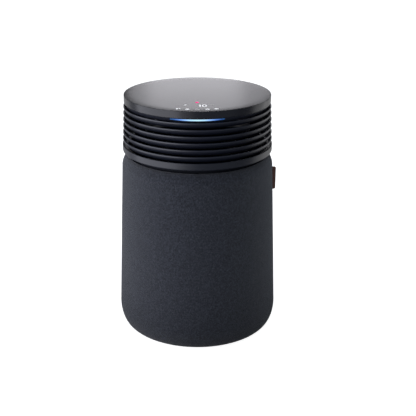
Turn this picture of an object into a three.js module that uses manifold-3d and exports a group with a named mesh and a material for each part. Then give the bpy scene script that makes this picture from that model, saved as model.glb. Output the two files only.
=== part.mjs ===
// A round, free-standing air purifier: a fabric-covered base that holds a cylindrical filter, and a lift-off
// head with the fan, the louvred outlet and the control plate. Millimetres, +Z up, and the front faces -Y.
// The origin is on the floor at the centre of the base.
import * as THREE from "three";
import { mergeVertices } from "three/addons/utils/BufferGeometryUtils.js";
import Module from "manifold-3d";

// ---- driving dimensions ----
const GAP = 0.3; // between pieces that touch
const RING_SIDES = 36; // sides of every large round piece
const SMALL_SIDES = 16; // sides of screws, feet and bosses
const CURVE_STEPS = 4; // straight lengths that stand for a curve in an outline

const FOOT_RADIUS = 12;
const FOOT_CIRCLE = 112;
const RECESS_RADIUS = 125.5; // shallow recess under the base that holds the feet
const RECESS_Z = 4.2;

const BODY_RADIUS = 165; // widest point of the fabric
const BODY_WIDEST_Z = 42.9;
const UNDERSIDE_Z = 1.5;
const UNDERSIDE_RADIUS = 147.8;
const UNDERSIDE_EDGE = 128; // where the fabric ends under the base
const SHOULDER_RADIUS = 153.2;
const SHOULDER_Z = 347.1;
const NECK_RADIUS = 140.8; // edge of the fabric, tucked in under the head
const NECK_Z = 367.5;
const FABRIC = 2.2; // thickness of the knitted sleeve
const TAPER = (BODY_RADIUS - SHOULDER_RADIUS) / (SHOULDER_Z - BODY_WIDEST_Z); // of the body and the head

const PAN_WALL = 3;
const PAN_TOP = 44;
const SEAT_Z = 38; // underside of the platform that carries the filter
const SEAT_THICKNESS = 3;
const CAGE_WALL = 2.2;
const CAGE_COLUMNS = 8;
const CAGE_POST = 26; // width of the wall left between two windows
const NECK_BORE = 130;
const NECK_BOTTOM = 352;
const NECK_TOP = 379.5;
const NECK_WALL_RADIUS = 138;

const FILTER_RADIUS = 125;
const FILTER_BOTTOM = SEAT_Z + SEAT_THICKNESS + GAP;
const FILTER_TOP = 296;
const CAP_THICKNESS = 3.4;
const CAP_LIP = 2.5;
const PLEATS = 36;
const PLEAT_DEPTH = 12;
const CORE_RADIUS = 58;
const CORE_WALL = 5.5;
const CAP_BORE = 54;
const CAP_RIM = 6; // height of the lip that holds the media
const SEAL_INNER = 67;
const SEAL_OUTER = 78;
const STRAP_LENGTH = 124;
const STRAP_WIDTH = 22;
const STRAP_THICKNESS = 1.2;

const HOUSING_BOTTOM = 302;
const HOUSING_RADIUS = 126.5;
const HOUSING_WALL = 2.5;
const INLET_RADIUS = 64;
const GUARD_RINGS = 6;
const FLANGE_Z = NECK_TOP + GAP;
const FLANGE_RADIUS = 143;
const FLANGE_THICKNESS = 3;

const COLLAR_RADIUS = 151.7;
const COLLAR_TOP = 393.9;
const COLLAR_STEP = 1.5; // how far the collar reaches in over the flange
const LOUVRE_COUNT = 6;
const LOUVRE_RADIUS = 148.3; // of the top louvre
const LOUVRE_PITCH = 12.98;
const TOP_LOUVRE_Z = 470.1;
const NOSE_HEIGHT = 3;
const BLADE_DROP = 8;
const BLADE_REACH = 5.5;
const BLADE_THICKNESS = 2;
const POST_ANGLES = [-60, 60, 120, 240]; // degrees from the front, seen from above
const POST_INNER = 128;
const POST_OUTER = 139.5;
const POST_THICKNESS = 5;

const TRAY_BOTTOM = 471;
const TRAY_EDGE = 141.1;
const LID_RADIUS = 147.2;
const LID_BOTTOM = 479.9;
const LID_WALL = 3;
const HEIGHT = 493.9;

const LIGHT_ANGLE = 20.5; // degrees to each side of the front
const LIGHT_BOTTOM = 474.8;
const LIGHT_TOP = 478.2;
const LIGHT_INNER = 137.2;
const LIGHT_OUTER = 143.6;

const IMPELLER_RADIUS = 104;
const IMPELLER_BOTTOM = 320;
const IMPELLER_TOP = 377;
const IMPELLER_EYE = 66;
const IMPELLER_BLADES = 7;
const SHAFT_RADIUS = 4;
const SHAFT_BOTTOM = 349;
const SHAFT_TOP = 415;
const BRACKET_Z = 386;
const BRACKET_THICKNESS = 4;
const MOTOR_BOTTOM = 395;
const MOTOR_TOP = 425;
const MOTOR_RADIUS = 45;
const DAMPER_CIRCLE = 36;
const HOUSING_SCREW_CIRCLE = 134;

const INLET_HALF_WIDTH = 14;
const INLET_LOW_Z = 13;
const INLET_HIGH_Z = 33;
const INLET_FACE_Y = 161;
const SOCKET_DEPTH = 14;
const PIN_SPACING = 8.6;
const LEAD_X = 22; // of the internal lead that runs up inside the cage
const LEAD_RADIUS = 3;

const NOTCH_HALF_WIDTH = 14; // slot in the neck for the head's power contacts
const REED_ANGLE = 150; // degrees from the front, of the head-present switch

// ---- materials ----
function material(color, roughness, metalness = 0) {
  return new THREE.MeshStandardMaterial({ color, roughness, metalness });
}
const GLOSS_BLACK = () => material(0x1c1e26, 0.25);
const SATIN_BLACK = () => material(0x22252e, 0.4);
const INNER_PLASTIC = () => material(0x17181c, 0.6);
const GREY_PLASTIC = () => material(0x9a9c9e, 0.55);
const CHARCOAL_KNIT = () => material(0x2b2e36, 0.95);
const BROWN_LEATHER = () => material(0x50362e, 0.65);
const RUBBER = () => material(0x141414, 0.9);
const STEEL = () => material(0x9fa3a8, 0.3, 1);
const BRASS = () => material(0xb08d4a, 0.35, 1);
const CIRCUIT_BOARD = () => material(0x1d4a33, 0.5);
const FILTER_WHITE = () => material(0xe4e4de, 0.9);
const CARBON = () => material(0x1b1b1c, 0.95);
const LIGHT_PLASTIC = () => material(0xc3ecff, 0.3);

// ---- building helpers ----
const wasm = await Module();
wasm.setup();

function degrees(angle) {
  return THREE.MathUtils.degToRad(angle);
}

// The spot at a radius and a number of degrees from the front, turning towards +X.
function around(radius, angle) {
  return [radius * Math.sin(degrees(angle)), -radius * Math.cos(degrees(angle))];
}

function solidOf(geometry) {
  const bare = geometry.clone();
  bare.deleteAttribute("normal");
  bare.deleteAttribute("uv");
  const merged = mergeVertices(bare, 1e-4);
  return new wasm.Manifold(
    new wasm.Mesh({
      numProp: 3,
      vertProperties: new Float32Array(merged.attributes.position.array),
      triVerts: new Uint32Array(merged.index.array),
    }),
  );
}

function geometryOf(solid) {
  const mesh = solid.getMesh();
  return new THREE.BufferGeometry()
    .setAttribute("position", new THREE.BufferAttribute(mesh.vertProperties, 3))
    .setIndex(new THREE.BufferAttribute(mesh.triVerts, 1));
}

function joined(first, ...others) {
  return geometryOf(others.reduce((sum, next) => sum.add(solidOf(next)), solidOf(first)));
}

function cut(first, ...tools) {
  return geometryOf(tools.reduce((rest, tool) => rest.subtract(solidOf(tool)), solidOf(first)));
}

// Turns an outline of [radius, z] points round the Z axis. The outline runs anticlockwise.
function revolved(outline, sides = RING_SIDES) {
  const points = outline.map(([radius, z]) => new THREE.Vector2(radius, z));
  const closed = outline[0][0] > 0;
  return new THREE.LatheGeometry(closed ? [...points, points[0]] : points, sides).rotateX(Math.PI / 2);
}

function ring(innerRadius, outerRadius, low, high, sides = RING_SIDES) {
  return revolved([[innerRadius, low], [outerRadius, low], [outerRadius, high], [innerRadius, high]], sides);
}

function disc(radius, low, high, sides = RING_SIDES) {
  return revolved([[0, low], [radius, low], [radius, high], [0, high]], sides);
}

function box(low, high) {
  const size = high.map((value, i) => value - low[i]);
  const centre = high.map((value, i) => (value + low[i]) / 2);
  return new THREE.BoxGeometry(...size).translate(...centre);
}

// A box built at the front, between two radii, and turned to an angle from the front.
function radialBox(inner, outer, width, low, high, angle) {
  return box([-width / 2, -outer, low], [width / 2, -inner, high]).rotateZ(degrees(angle));
}

// A length of ring, centred on the front.
function arcBlock(inner, outer, halfAngle, low, high) {
  const from = degrees(-90 - halfAngle);
  const to = degrees(-90 + halfAngle);
  const shape = new THREE.Shape();
  shape.absarc(0, 0, outer, from, to, false);
  shape.absarc(0, 0, inner, to, from, true);
  return new THREE.ExtrudeGeometry(shape, { depth: high - low, bevelEnabled: false, curveSegments: 10 })
    .translate(0, 0, low);
}

function pillar(radius, low, high, [x, y], sides = SMALL_SIDES) {
  return disc(radius, low, high, sides).translate(x, y, 0);
}

// The body's outline, moved inwards by a distance, from the underside edge to the neck.
function bodyOutline(inset) {
  const outline = [[UNDERSIDE_EDGE, UNDERSIDE_Z + inset]];
  for (let i = 0; i <= CURVE_STEPS; i++) {
    const angle = (Math.PI / 2) * (i / CURVE_STEPS);
    outline.push([
      UNDERSIDE_RADIUS + (BODY_RADIUS - UNDERSIDE_RADIUS - inset) * Math.sin(angle),
      BODY_WIDEST_Z - (BODY_WIDEST_Z - UNDERSIDE_Z - inset) * Math.cos(angle),
    ]);
  }
  for (let i = 0; i <= CURVE_STEPS; i++) {
    const angle = (Math.PI / 2) * (i / CURVE_STEPS);
    outline.push([
      NECK_RADIUS - inset + (SHOULDER_RADIUS - NECK_RADIUS) * Math.cos(angle),
      SHOULDER_Z + (NECK_Z - inset - SHOULDER_Z) * Math.sin(angle),
    ]);
  }
  return outline;
}

// The outside radius at a height above the widest point: a straight taper, then an elliptical shoulder.
function bodyRadius(z, inset) {
  const rise = Math.max(z - SHOULDER_Z, 0) / (NECK_Z - inset - SHOULDER_Z);
  const shoulder = (SHOULDER_RADIUS - NECK_RADIUS) * (1 - Math.sqrt(1 - rise * rise));
  return BODY_RADIUS - TAPER * (Math.min(z, SHOULDER_Z) - BODY_WIDEST_Z) - shoulder - inset;
}

function powerInletHole() {
  const half = INLET_HALF_WIDTH + GAP;
  return box([-half, FILTER_RADIUS, INLET_LOW_Z - GAP], [half, BODY_RADIUS + 5, INLET_HIGH_Z + GAP]);
}

// ---- the base ----
function fabricSleeve() {
  const shell = revolved([...bodyOutline(0), ...bodyOutline(FABRIC).reverse()]);
  return cut(shell, powerInletHole());
}

function leatherTab() {
  const outer = 162;
  const low = 291.5;
  const high = 339.6;
  const corner = 3;
  const shape = new THREE.Shape();
  shape.moveTo(bodyRadius(low, -GAP), low);
  shape.lineTo(outer - corner, low);
  shape.absarc(outer - corner, low + corner, corner, -Math.PI / 2, 0, false);
  shape.absarc(outer - corner, high - corner, corner, 0, Math.PI / 2, false);
  shape.lineTo(bodyRadius(high, -GAP), high);
  const thickness = 3;
  return new THREE.ExtrudeGeometry(shape, { depth: thickness, bevelEnabled: false, curveSegments: 3 })
    .rotateX(Math.PI / 2)
    .translate(0, thickness / 2, 0);
}

function basePan() {
  const inset = FABRIC + GAP;
  const outside = bodyOutline(inset).filter(([, z]) => z < PAN_TOP).slice(1);
  const wallOutside = bodyRadius(PAN_TOP, inset);
  const wallInside = wallOutside - PAN_WALL;
  const floorTop = RECESS_Z + PAN_WALL;
  const shell = revolved([
    [0, RECESS_Z],
    [RECESS_RADIUS, RECESS_Z],
    [RECESS_RADIUS, UNDERSIDE_Z],
    [UNDERSIDE_EDGE - GAP, UNDERSIDE_Z],
    [UNDERSIDE_EDGE - GAP, UNDERSIDE_Z + inset],
    ...outside,
    [wallOutside, PAN_TOP],
    [wallInside, PAN_TOP],
    [wallInside, SEAT_Z - 4],
    [UNDERSIDE_RADIUS - 3, floorTop],
    [0, floorTop],
  ]);
  return cut(shell, powerInletHole());
}

function filterSeat() {
  const top = SEAT_Z + SEAT_THICKNESS;
  const ribInner = FILTER_RADIUS + 1.5;
  const ribOuter = ribInner + 2;
  const plate = revolved([
    [0, SEAT_Z],
    [bodyRadius(PAN_TOP, FABRIC + PAN_WALL + 1), SEAT_Z],
    [bodyRadius(PAN_TOP, FABRIC + PAN_WALL + 1), top],
    [ribOuter, top],
    [ribOuter, top + 5],
    [ribInner, top + 5],
    [ribInner, top],
    [0, top],
  ]);
  const leadSlot = box([LEAD_X - 8, 134, SEAT_Z - 1], [LEAD_X + 8, 152, top + 1]);
  return cut(plate, leadSlot);
}

function intakeCage() {
  const low = PAN_TOP + GAP;
  const high = NECK_BOTTOM - GAP;
  const inset = FABRIC + GAP;
  const wall = revolved([
    [bodyRadius(low, inset + CAGE_WALL), low],
    [bodyRadius(low, inset), low],
    [bodyRadius(high, inset), high],
    [bodyRadius(high, inset + CAGE_WALL), high],
  ]);
  const rim = 14;
  const width = 2 * SHOULDER_RADIUS * Math.sin(Math.PI / CAGE_COLUMNS) - CAGE_POST;
  const windows = [];
  for (let column = 0; column < CAGE_COLUMNS; column++) {
    const angle = (360 / CAGE_COLUMNS) * (column + 0.5);
    windows.push(radialBox(FILTER_RADIUS, BODY_RADIUS + 5, width, low + rim, high - rim, angle));
  }
  return cut(wall, ...windows);
}

function neckRing() {
  const inset = FABRIC + GAP;
  const shoulder = bodyOutline(inset).filter(([, z]) => z > NECK_BOTTOM);
  const body = revolved([
    [NECK_BORE, NECK_BOTTOM],
    [bodyRadius(NECK_BOTTOM, inset), NECK_BOTTOM],
    ...shoulder,
    [NECK_WALL_RADIUS, NECK_Z],
    [NECK_WALL_RADIUS, NECK_TOP],
    [NECK_BORE, NECK_TOP],
  ]);
  const notchWidth = 2 * NOTCH_HALF_WIDTH;
  const contactNotch = radialBox(NECK_BORE - 4, 135.6, notchWidth, NECK_BOTTOM - 1, NECK_TOP + 1, 180);
  const reedPocket = radialBox(NECK_BORE - 4, 135, 18, NECK_BOTTOM - 1, NECK_TOP - 3, REED_ANGLE);
  return cut(body, contactNotch, reedPocket);
}

function contactSocket() {
  const block = radialBox(129, 135, 24, 342, 356, 180);
  const slots = [-6, 0, 6].map((x) => box([x - 1, 130.5, 350], [x + 1, 133.5, 357]));
  return cut(block, ...slots);
}

function reedSwitch() {
  return radialBox(131.2, 134.4, 14, NECK_BOTTOM + 1, NECK_TOP - 5, REED_ANGLE);
}

function powerInlet() {
  const block = box([-INLET_HALF_WIDTH, 132, INLET_LOW_Z], [INLET_HALF_WIDTH, INLET_FACE_Y, INLET_HIGH_Z]);
  const socket = box([-9.5, INLET_FACE_Y - SOCKET_DEPTH, 18.5], [9.5, INLET_FACE_Y + 1, 27.5]);
  return cut(block, socket);
}

function inletPin(x) {
  const length = 8;
  const start = INLET_FACE_Y - SOCKET_DEPTH + GAP;
  const middle = (INLET_LOW_Z + INLET_HIGH_Z) / 2;
  return disc(1.2, 0, length, 8).rotateX(-Math.PI / 2).translate(x, start, middle);
}

function powerBoard() {
  const bottom = 10;
  const top = bottom + 1.6;
  const board = box([-50, 25, bottom], [50, 118, top]);
  const transformer = box([-34, 50, top - 0.2], [-4, 78, top + 18]);
  const capacitor = pillar(9, top - 0.2, top + 20, [16, 58]);
  const heatSink = box([30, 40, top - 0.2], [36, 90, top + 17]);
  const leadConnector = box([16, 100, top - 0.2], [28, 112, top + 12]);
  return joined(board, transformer, capacitor, heatSink, leadConnector);
}

// The internal lead from the power board up the cage to the head's contacts.
function supplyLead() {
  const route = new THREE.CatmullRomCurve3([
    new THREE.Vector3(LEAD_X, 113.5, 18),
    new THREE.Vector3(LEAD_X, 128, 22),
    new THREE.Vector3(LEAD_X, 142, SEAT_Z),
    new THREE.Vector3(LEAD_X, 143, 70),
    new THREE.Vector3(LEAD_X, 141, 200),
    new THREE.Vector3(LEAD_X - 2, 138, 320),
    new THREE.Vector3(LEAD_X - 5.5, 134, 346),
  ]);
  const section = new THREE.Shape();
  section.absarc(0, 0, LEAD_RADIUS, 0, 2 * Math.PI, false);
  return new THREE.ExtrudeGeometry(section, {
    steps: 24,
    curveSegments: 4,
    bevelEnabled: false,
    extrudePath: route,
  });
}

function foot(index) {
  return pillar(FOOT_RADIUS, 0, RECESS_Z - GAP, around(FOOT_CIRCLE, 45 + 90 * index));
}

function baseScrew(index) {
  return pillar(4, 2, RECESS_Z - GAP, around(FOOT_CIRCLE, 120 * index), 12);
}

// ---- the filter ----
function filterBottomCap() {
  const floor = FILTER_BOTTOM + CAP_THICKNESS;
  return revolved([
    [0, FILTER_BOTTOM],
    [FILTER_RADIUS, FILTER_BOTTOM],
    [FILTER_RADIUS, floor + CAP_RIM],
    [FILTER_RADIUS - CAP_LIP, floor + CAP_RIM],
    [FILTER_RADIUS - CAP_LIP, floor],
    [0, floor],
  ]);
}

function filterTopCap() {
  const underside = FILTER_TOP - CAP_THICKNESS;
  return revolved([
    [CAP_BORE, underside],
    [FILTER_RADIUS - CAP_LIP, underside],
    [FILTER_RADIUS - CAP_LIP, underside - CAP_RIM],
    [FILTER_RADIUS, underside - CAP_RIM],
    [FILTER_RADIUS, FILTER_TOP],
    [CAP_BORE, FILTER_TOP],
  ]);
}

const MEDIA_BOTTOM = FILTER_BOTTOM + CAP_THICKNESS + GAP;
const MEDIA_TOP = FILTER_TOP - CAP_THICKNESS - GAP;

function filterMedia() {
  const crest = FILTER_RADIUS - CAP_LIP - 1;
  const shape = new THREE.Shape();
  for (let i = 0; i < 2 * PLEATS; i++) {
    const [x, y] = around(i % 2 ? crest : crest - PLEAT_DEPTH, (180 / PLEATS) * i);
    if (i) {
      shape.lineTo(x, y);
    } else {
      shape.moveTo(x, y);
    }
  }
  const bore = new THREE.Path();
  bore.absarc(0, 0, CORE_RADIUS + CORE_WALL + 2 * GAP, 0, 2 * Math.PI, true);
  shape.holes.push(bore);
  return new THREE.ExtrudeGeometry(shape, {
    depth: MEDIA_TOP - MEDIA_BOTTOM,
    bevelEnabled: false,
    curveSegments: RING_SIDES / 2,
  }).translate(0, 0, MEDIA_BOTTOM);
}

function carbonCore() {
  return ring(CORE_RADIUS, CORE_RADIUS + CORE_WALL, MEDIA_BOTTOM, MEDIA_TOP);
}

function filterSeal() {
  return ring(SEAL_INNER, SEAL_OUTER, FILTER_TOP + GAP, HOUSING_BOTTOM - GAP);
}

function pullStrap() {
  const low = FILTER_TOP + GAP;
  const x = STRAP_LENGTH / 2;
  const y = STRAP_WIDTH / 2;
  return box([-x, -y, low], [x, y, low + STRAP_THICKNESS]);
}

// ---- the head ----
function fanHousing() {
  const floor = HOUSING_BOTTOM + HOUSING_WALL;
  const flangeTop = FLANGE_Z + FLANGE_THICKNESS;
  return revolved([
    [INLET_RADIUS, HOUSING_BOTTOM],
    [HOUSING_RADIUS, HOUSING_BOTTOM],
    [HOUSING_RADIUS, FLANGE_Z],
    [FLANGE_RADIUS, FLANGE_Z],
    [FLANGE_RADIUS, flangeTop],
    [HOUSING_RADIUS - HOUSING_WALL, flangeTop],
    [HOUSING_RADIUS - HOUSING_WALL, floor],
    [INLET_RADIUS + 5, floor],
    [INLET_RADIUS + 1, floor + 4],
    [INLET_RADIUS, IMPELLER_BOTTOM - 1.5],
    [INLET_RADIUS - 2, IMPELLER_BOTTOM - 1.5],
    [INLET_RADIUS - 2, floor + 4],
  ]);
}

function inletGuard() {
  const low = HOUSING_BOTTOM + 7;
  const high = low + 2;
  const outer = INLET_RADIUS - 2 - 4 * GAP;
  const hubRadius = 8;
  const wire = 2;
  const spacing = (outer - hubRadius) / GUARD_RINGS;
  const rings = [];
  for (let i = 1; i <= GUARD_RINGS; i++) {
    const radius = hubRadius + i * spacing;
    rings.push(ring(radius - wire, radius, low, high, 24));
  }
  const spokes = [0, 90].map((angle) =>
    radialBox(-outer + 1, outer - 1, wire, low + GAP, high - GAP, angle));
  const hub = disc(hubRadius, low, high, SMALL_SIDES);
  return joined(hub, ...rings, ...spokes);
}

function motorBracket() {
  const top = BRACKET_Z + BRACKET_THICKNESS;
  const rimOuter = HOUSING_RADIUS - HOUSING_WALL - 2 * GAP;
  const hub = ring(9, 50, BRACKET_Z, top, 24);
  const rim = ring(rimOuter - 4, rimOuter, BRACKET_Z - 5, top);
  const arms = [0, 60, 120, 180, 240, 300].map((angle) =>
    radialBox(48, rimOuter - 2, 8, BRACKET_Z, top, angle));
  return joined(hub, rim, ...arms);
}

function motor() {
  const boreTop = SHAFT_TOP + 2;
  const bore = SHAFT_RADIUS + 0.4;
  return revolved([
    [0, boreTop],
    [bore, boreTop],
    [bore, MOTOR_BOTTOM],
    [MOTOR_RADIUS, MOTOR_BOTTOM],
    [MOTOR_RADIUS, MOTOR_TOP - 4],
    [MOTOR_RADIUS - 5, MOTOR_TOP],
    [0, MOTOR_TOP],
  ], 24);
}

function motorDamper(index) {
  const low = BRACKET_Z + BRACKET_THICKNESS + GAP;
  return pillar(6, low, MOTOR_BOTTOM - GAP, around(DAMPER_CIRCLE, 120 * index), 12);
}

// A shell that opens upwards like a trumpet and turns the rising air outwards.
function airDeflector() {
  const wall = 2.5;
  const foot = 52;
  const mouth = 126;
  const low = 396;
  const high = TRAY_BOTTOM - GAP;
  const curve = [];
  for (let i = 0; i <= CURVE_STEPS; i++) {
    const angle = (Math.PI / 2) * (i / CURVE_STEPS);
    const radius = foot + (mouth - foot) * (1 - Math.cos(angle));
    curve.push([radius, low + (high - wall - low) * Math.sin(angle)]);
  }
  const inside = curve.slice(0, -1).map(([radius, z], i) => [radius - wall, z + (wall * i) / CURVE_STEPS]);
  return revolved([...curve, [mouth, high], ...inside.reverse()]);
}

function grilleCollar() {
  const bottom = FLANGE_Z + GAP;
  return revolved([
    [FLANGE_RADIUS + 2 * GAP, bottom],
    [COLLAR_RADIUS - 2.2, bottom],
    [COLLAR_RADIUS - 0.5, bottom + 1.2],
    [COLLAR_RADIUS, bottom + 3.5],
    [COLLAR_RADIUS, COLLAR_TOP - 0.5],
    [COLLAR_RADIUS - 0.5, COLLAR_TOP],
    [FLANGE_RADIUS - COLLAR_STEP, COLLAR_TOP - 2],
    [FLANGE_RADIUS - COLLAR_STEP, FLANGE_Z + FLANGE_THICKNESS + GAP],
    [FLANGE_RADIUS + 2 * GAP, FLANGE_Z + FLANGE_THICKNESS + GAP],
  ]);
}

function louvre(index) {
  const middle = TOP_LOUVRE_Z - LOUVRE_PITCH * index;
  const low = middle - NOSE_HEIGHT / 2;
  const high = middle + NOSE_HEIGHT / 2;
  const radius = LOUVRE_RADIUS + TAPER * LOUVRE_PITCH * index;
  const tip = radius - BLADE_REACH;
  return revolved([
    [tip - BLADE_THICKNESS, low - BLADE_DROP],
    [tip, low - BLADE_DROP],
    [radius, low],
    [radius, high],
    [radius - 2.5, high],
  ]);
}

function grillePost(index) {
  const low = FLANGE_Z + FLANGE_THICKNESS + GAP;
  return radialBox(POST_INNER, POST_OUTER, POST_THICKNESS, low, TRAY_BOTTOM - GAP, POST_ANGLES[index]);
}

function lidTray() {
  const rimTop = LID_BOTTOM - GAP;
  const shell = revolved([
    [0, TRAY_BOTTOM],
    [TRAY_EDGE, TRAY_BOTTOM],
    [LID_RADIUS - GAP, rimTop],
    [LID_RADIUS - LID_WALL, rimTop],
    [TRAY_EDGE - LID_WALL, TRAY_BOTTOM + 2.5],
    [0, TRAY_BOTTOM + 2.5],
  ]);
  const slot = arcBlock(LIGHT_INNER - GAP, LID_RADIUS + 4, LIGHT_ANGLE + 0.3, LIGHT_BOTTOM - GAP,
    LIGHT_TOP + GAP);
  return cut(shell, slot);
}

function lightGuide() {
  return arcBlock(LIGHT_INNER, LIGHT_OUTER, LIGHT_ANGLE, LIGHT_BOTTOM, LIGHT_TOP);
}

function lightBoard() {
  return arcBlock(LIGHT_INNER - 3, LIGHT_INNER - 1.4, LIGHT_ANGLE - 1, LIGHT_BOTTOM, LIGHT_TOP + 2);
}

function topPlate() {
  const edge = 0.8;
  return revolved([
    [0, HEIGHT - LID_WALL],
    [LID_RADIUS - LID_WALL, HEIGHT - LID_WALL],
    [LID_RADIUS - LID_WALL, LID_BOTTOM],
    [LID_RADIUS, LID_BOTTOM],
    [LID_RADIUS, HEIGHT - edge],
    [LID_RADIUS - edge, HEIGHT],
    [0, HEIGHT],
  ]);
}

function displayBoard() {
  const low = 483;
  const board = box([-55, -126, low], [55, -70, low + 1.6]);
  const screen = box([-22, -112, low + 1.4], [22, -78, low + 5]);
  const connector = box([-10, -90, low - 4], [10, -80, low + 0.2]);
  return joined(board, screen, connector);
}

function particleSensor() {
  const low = TRAY_BOTTOM + 2.5 + GAP;
  const body = box([-23, 58, low], [23, 94, low + 13]);
  const airHole = box([-14, 70, low + 8], [-4, 80, low + 14]);
  return cut(body, airHole);
}

function contactPlug() {
  return radialBox(127.2, 134.4, 22, 357, FLANGE_Z - GAP, 180);
}

function headMagnet() {
  return radialBox(HOUSING_RADIUS + 0.4, HOUSING_RADIUS + 2.6, 12, 359, 371, REED_ANGLE);
}

function housingScrew(index) {
  const low = FLANGE_Z + FLANGE_THICKNESS + GAP;
  return pillar(3.5, low, low + 3, around(HOUSING_SCREW_CIRCLE, 45 + 90 * index), 12);
}

// ---- the fan ----
function bladeOutline() {
  const thickness = 2.5;
  const side = (offset) => {
    const points = [];
    for (let i = 0; i <= CURVE_STEPS; i++) {
      const share = i / CURVE_STEPS;
      const radius = IMPELLER_EYE - 3 + (IMPELLER_RADIUS - IMPELLER_EYE + 1) * share;
      const [x, y] = around(radius, -34 * share);
      points.push(new THREE.Vector2(x + offset, y));
    }
    return points;
  };
  return new THREE.Shape([...side(0), ...side(thickness).reverse()]);
}

function impeller() {
  const plate = revolved([
    [SHAFT_RADIUS + GAP, IMPELLER_TOP - 22],
    [14, IMPELLER_TOP - 22],
    [18, IMPELLER_TOP - 3],
    [IMPELLER_RADIUS, IMPELLER_TOP - 3],
    [IMPELLER_RADIUS, IMPELLER_TOP],
    [SHAFT_RADIUS + GAP, IMPELLER_TOP],
  ]);
  const shroud = ring(IMPELLER_EYE, IMPELLER_RADIUS, IMPELLER_BOTTOM, IMPELLER_BOTTOM + 2.5);
  const depth = IMPELLER_TOP - 3 - IMPELLER_BOTTOM;
  const blades = [];
  for (let i = 0; i < IMPELLER_BLADES; i++) {
    blades.push(
      new THREE.ExtrudeGeometry(bladeOutline(), { depth, bevelEnabled: false })
        .translate(0, 0, IMPELLER_BOTTOM + 1)
        .rotateZ(degrees((360 / IMPELLER_BLADES) * i)),
    );
  }
  return joined(plate, shroud, ...blades);
}

function motorShaft() {
  return disc(SHAFT_RADIUS, SHAFT_BOTTOM, SHAFT_TOP, 12);
}

function impellerNut() {
  const high = IMPELLER_TOP - 22 - GAP;
  return cut(disc(8, SHAFT_BOTTOM, high, 6), disc(SHAFT_RADIUS + GAP, SHAFT_BOTTOM - 1, high + 1, 12));
}

// ---- assembly ----
const purifier = new THREE.Group();

function add(name, geometry, finish) {
  const mesh = new THREE.Mesh(geometry, finish());
  mesh.name = name;
  purifier.add(mesh);
}

function addEach(name, count, make, finish) {
  for (let i = 0; i < count; i++) {
    add(`${name}_${i + 1}`, make(i), finish);
  }
}

add("base_pan", basePan(), INNER_PLASTIC);
add("filter_seat", filterSeat(), INNER_PLASTIC);
add("intake_cage", intakeCage(), INNER_PLASTIC);
add("neck_ring", neckRing(), SATIN_BLACK);
add("fabric_sleeve", fabricSleeve(), CHARCOAL_KNIT);
add("leather_tab", leatherTab(), BROWN_LEATHER);
add("power_inlet", powerInlet(), SATIN_BLACK);
addEach("inlet_pin", 2, (i) => inletPin(PIN_SPACING * (i - 0.5)), BRASS);
add("power_board", powerBoard(), CIRCUIT_BOARD);
add("supply_lead", supplyLead(), RUBBER);
add("contact_socket", contactSocket(), SATIN_BLACK);
add("reed_switch", reedSwitch(), GREY_PLASTIC);
addEach("foot", 4, foot, RUBBER);
addEach("base_screw", 3, baseScrew, STEEL);

add("filter_bottom_cap", filterBottomCap(), GREY_PLASTIC);
add("filter_top_cap", filterTopCap(), GREY_PLASTIC);
add("filter_media", filterMedia(), FILTER_WHITE);
add("carbon_core", carbonCore(), CARBON);
add("filter_seal", filterSeal(), RUBBER);
add("pull_strap", pullStrap(), CHARCOAL_KNIT);

add("fan_housing", fanHousing(), INNER_PLASTIC);
add("inlet_guard", inletGuard(), INNER_PLASTIC);
add("motor_bracket", motorBracket(), INNER_PLASTIC);
add("motor", motor(), STEEL);
addEach("motor_damper", 3, motorDamper, RUBBER);
add("air_deflector", airDeflector(), INNER_PLASTIC);
add("grille_collar", grilleCollar(), SATIN_BLACK);
addEach("louvre", LOUVRE_COUNT, louvre, SATIN_BLACK);
addEach("grille_post", POST_ANGLES.length, grillePost, INNER_PLASTIC);
add("lid_tray", lidTray(), SATIN_BLACK);
add("light_guide", lightGuide(), LIGHT_PLASTIC);
add("light_board", lightBoard(), CIRCUIT_BOARD);
add("display_board", displayBoard(), CIRCUIT_BOARD);
add("particle_sensor", particleSensor(), GREY_PLASTIC);
add("top_plate", topPlate(), GLOSS_BLACK);
add("contact_plug", contactPlug(), SATIN_BLACK);
add("head_magnet", headMagnet(), STEEL);
addEach("housing_screw", 4, housingScrew, STEEL);

add("impeller", impeller(), GREY_PLASTIC);
add("motor_shaft", motorShaft(), STEEL);
add("impeller_nut", impellerNut(), BRASS);

export default purifier;
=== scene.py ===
"""A round, fabric-covered air purifier with a lift-off head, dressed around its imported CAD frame.

Lengths are in millimetres and turned into metres where a mesh or light is made. The front faces -Y.
Angles round the body are counted from the front, turning towards +X.
"""

import math

import bmesh
import bpy
import numpy as np
from mathutils import Matrix, Vector, noise


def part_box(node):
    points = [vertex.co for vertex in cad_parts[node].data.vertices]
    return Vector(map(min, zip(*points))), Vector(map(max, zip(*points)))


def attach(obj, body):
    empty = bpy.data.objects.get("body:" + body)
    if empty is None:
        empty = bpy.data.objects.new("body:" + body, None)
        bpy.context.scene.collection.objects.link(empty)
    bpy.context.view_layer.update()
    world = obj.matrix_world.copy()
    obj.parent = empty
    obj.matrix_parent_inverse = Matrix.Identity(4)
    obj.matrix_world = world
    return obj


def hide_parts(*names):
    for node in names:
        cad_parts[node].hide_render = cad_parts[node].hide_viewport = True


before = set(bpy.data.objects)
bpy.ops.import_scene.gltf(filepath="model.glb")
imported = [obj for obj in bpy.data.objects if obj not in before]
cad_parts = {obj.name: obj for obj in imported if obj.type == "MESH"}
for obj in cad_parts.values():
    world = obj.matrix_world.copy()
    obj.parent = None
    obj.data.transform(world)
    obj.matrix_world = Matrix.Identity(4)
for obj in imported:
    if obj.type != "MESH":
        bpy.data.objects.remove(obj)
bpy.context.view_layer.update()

MM = 0.001

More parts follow.
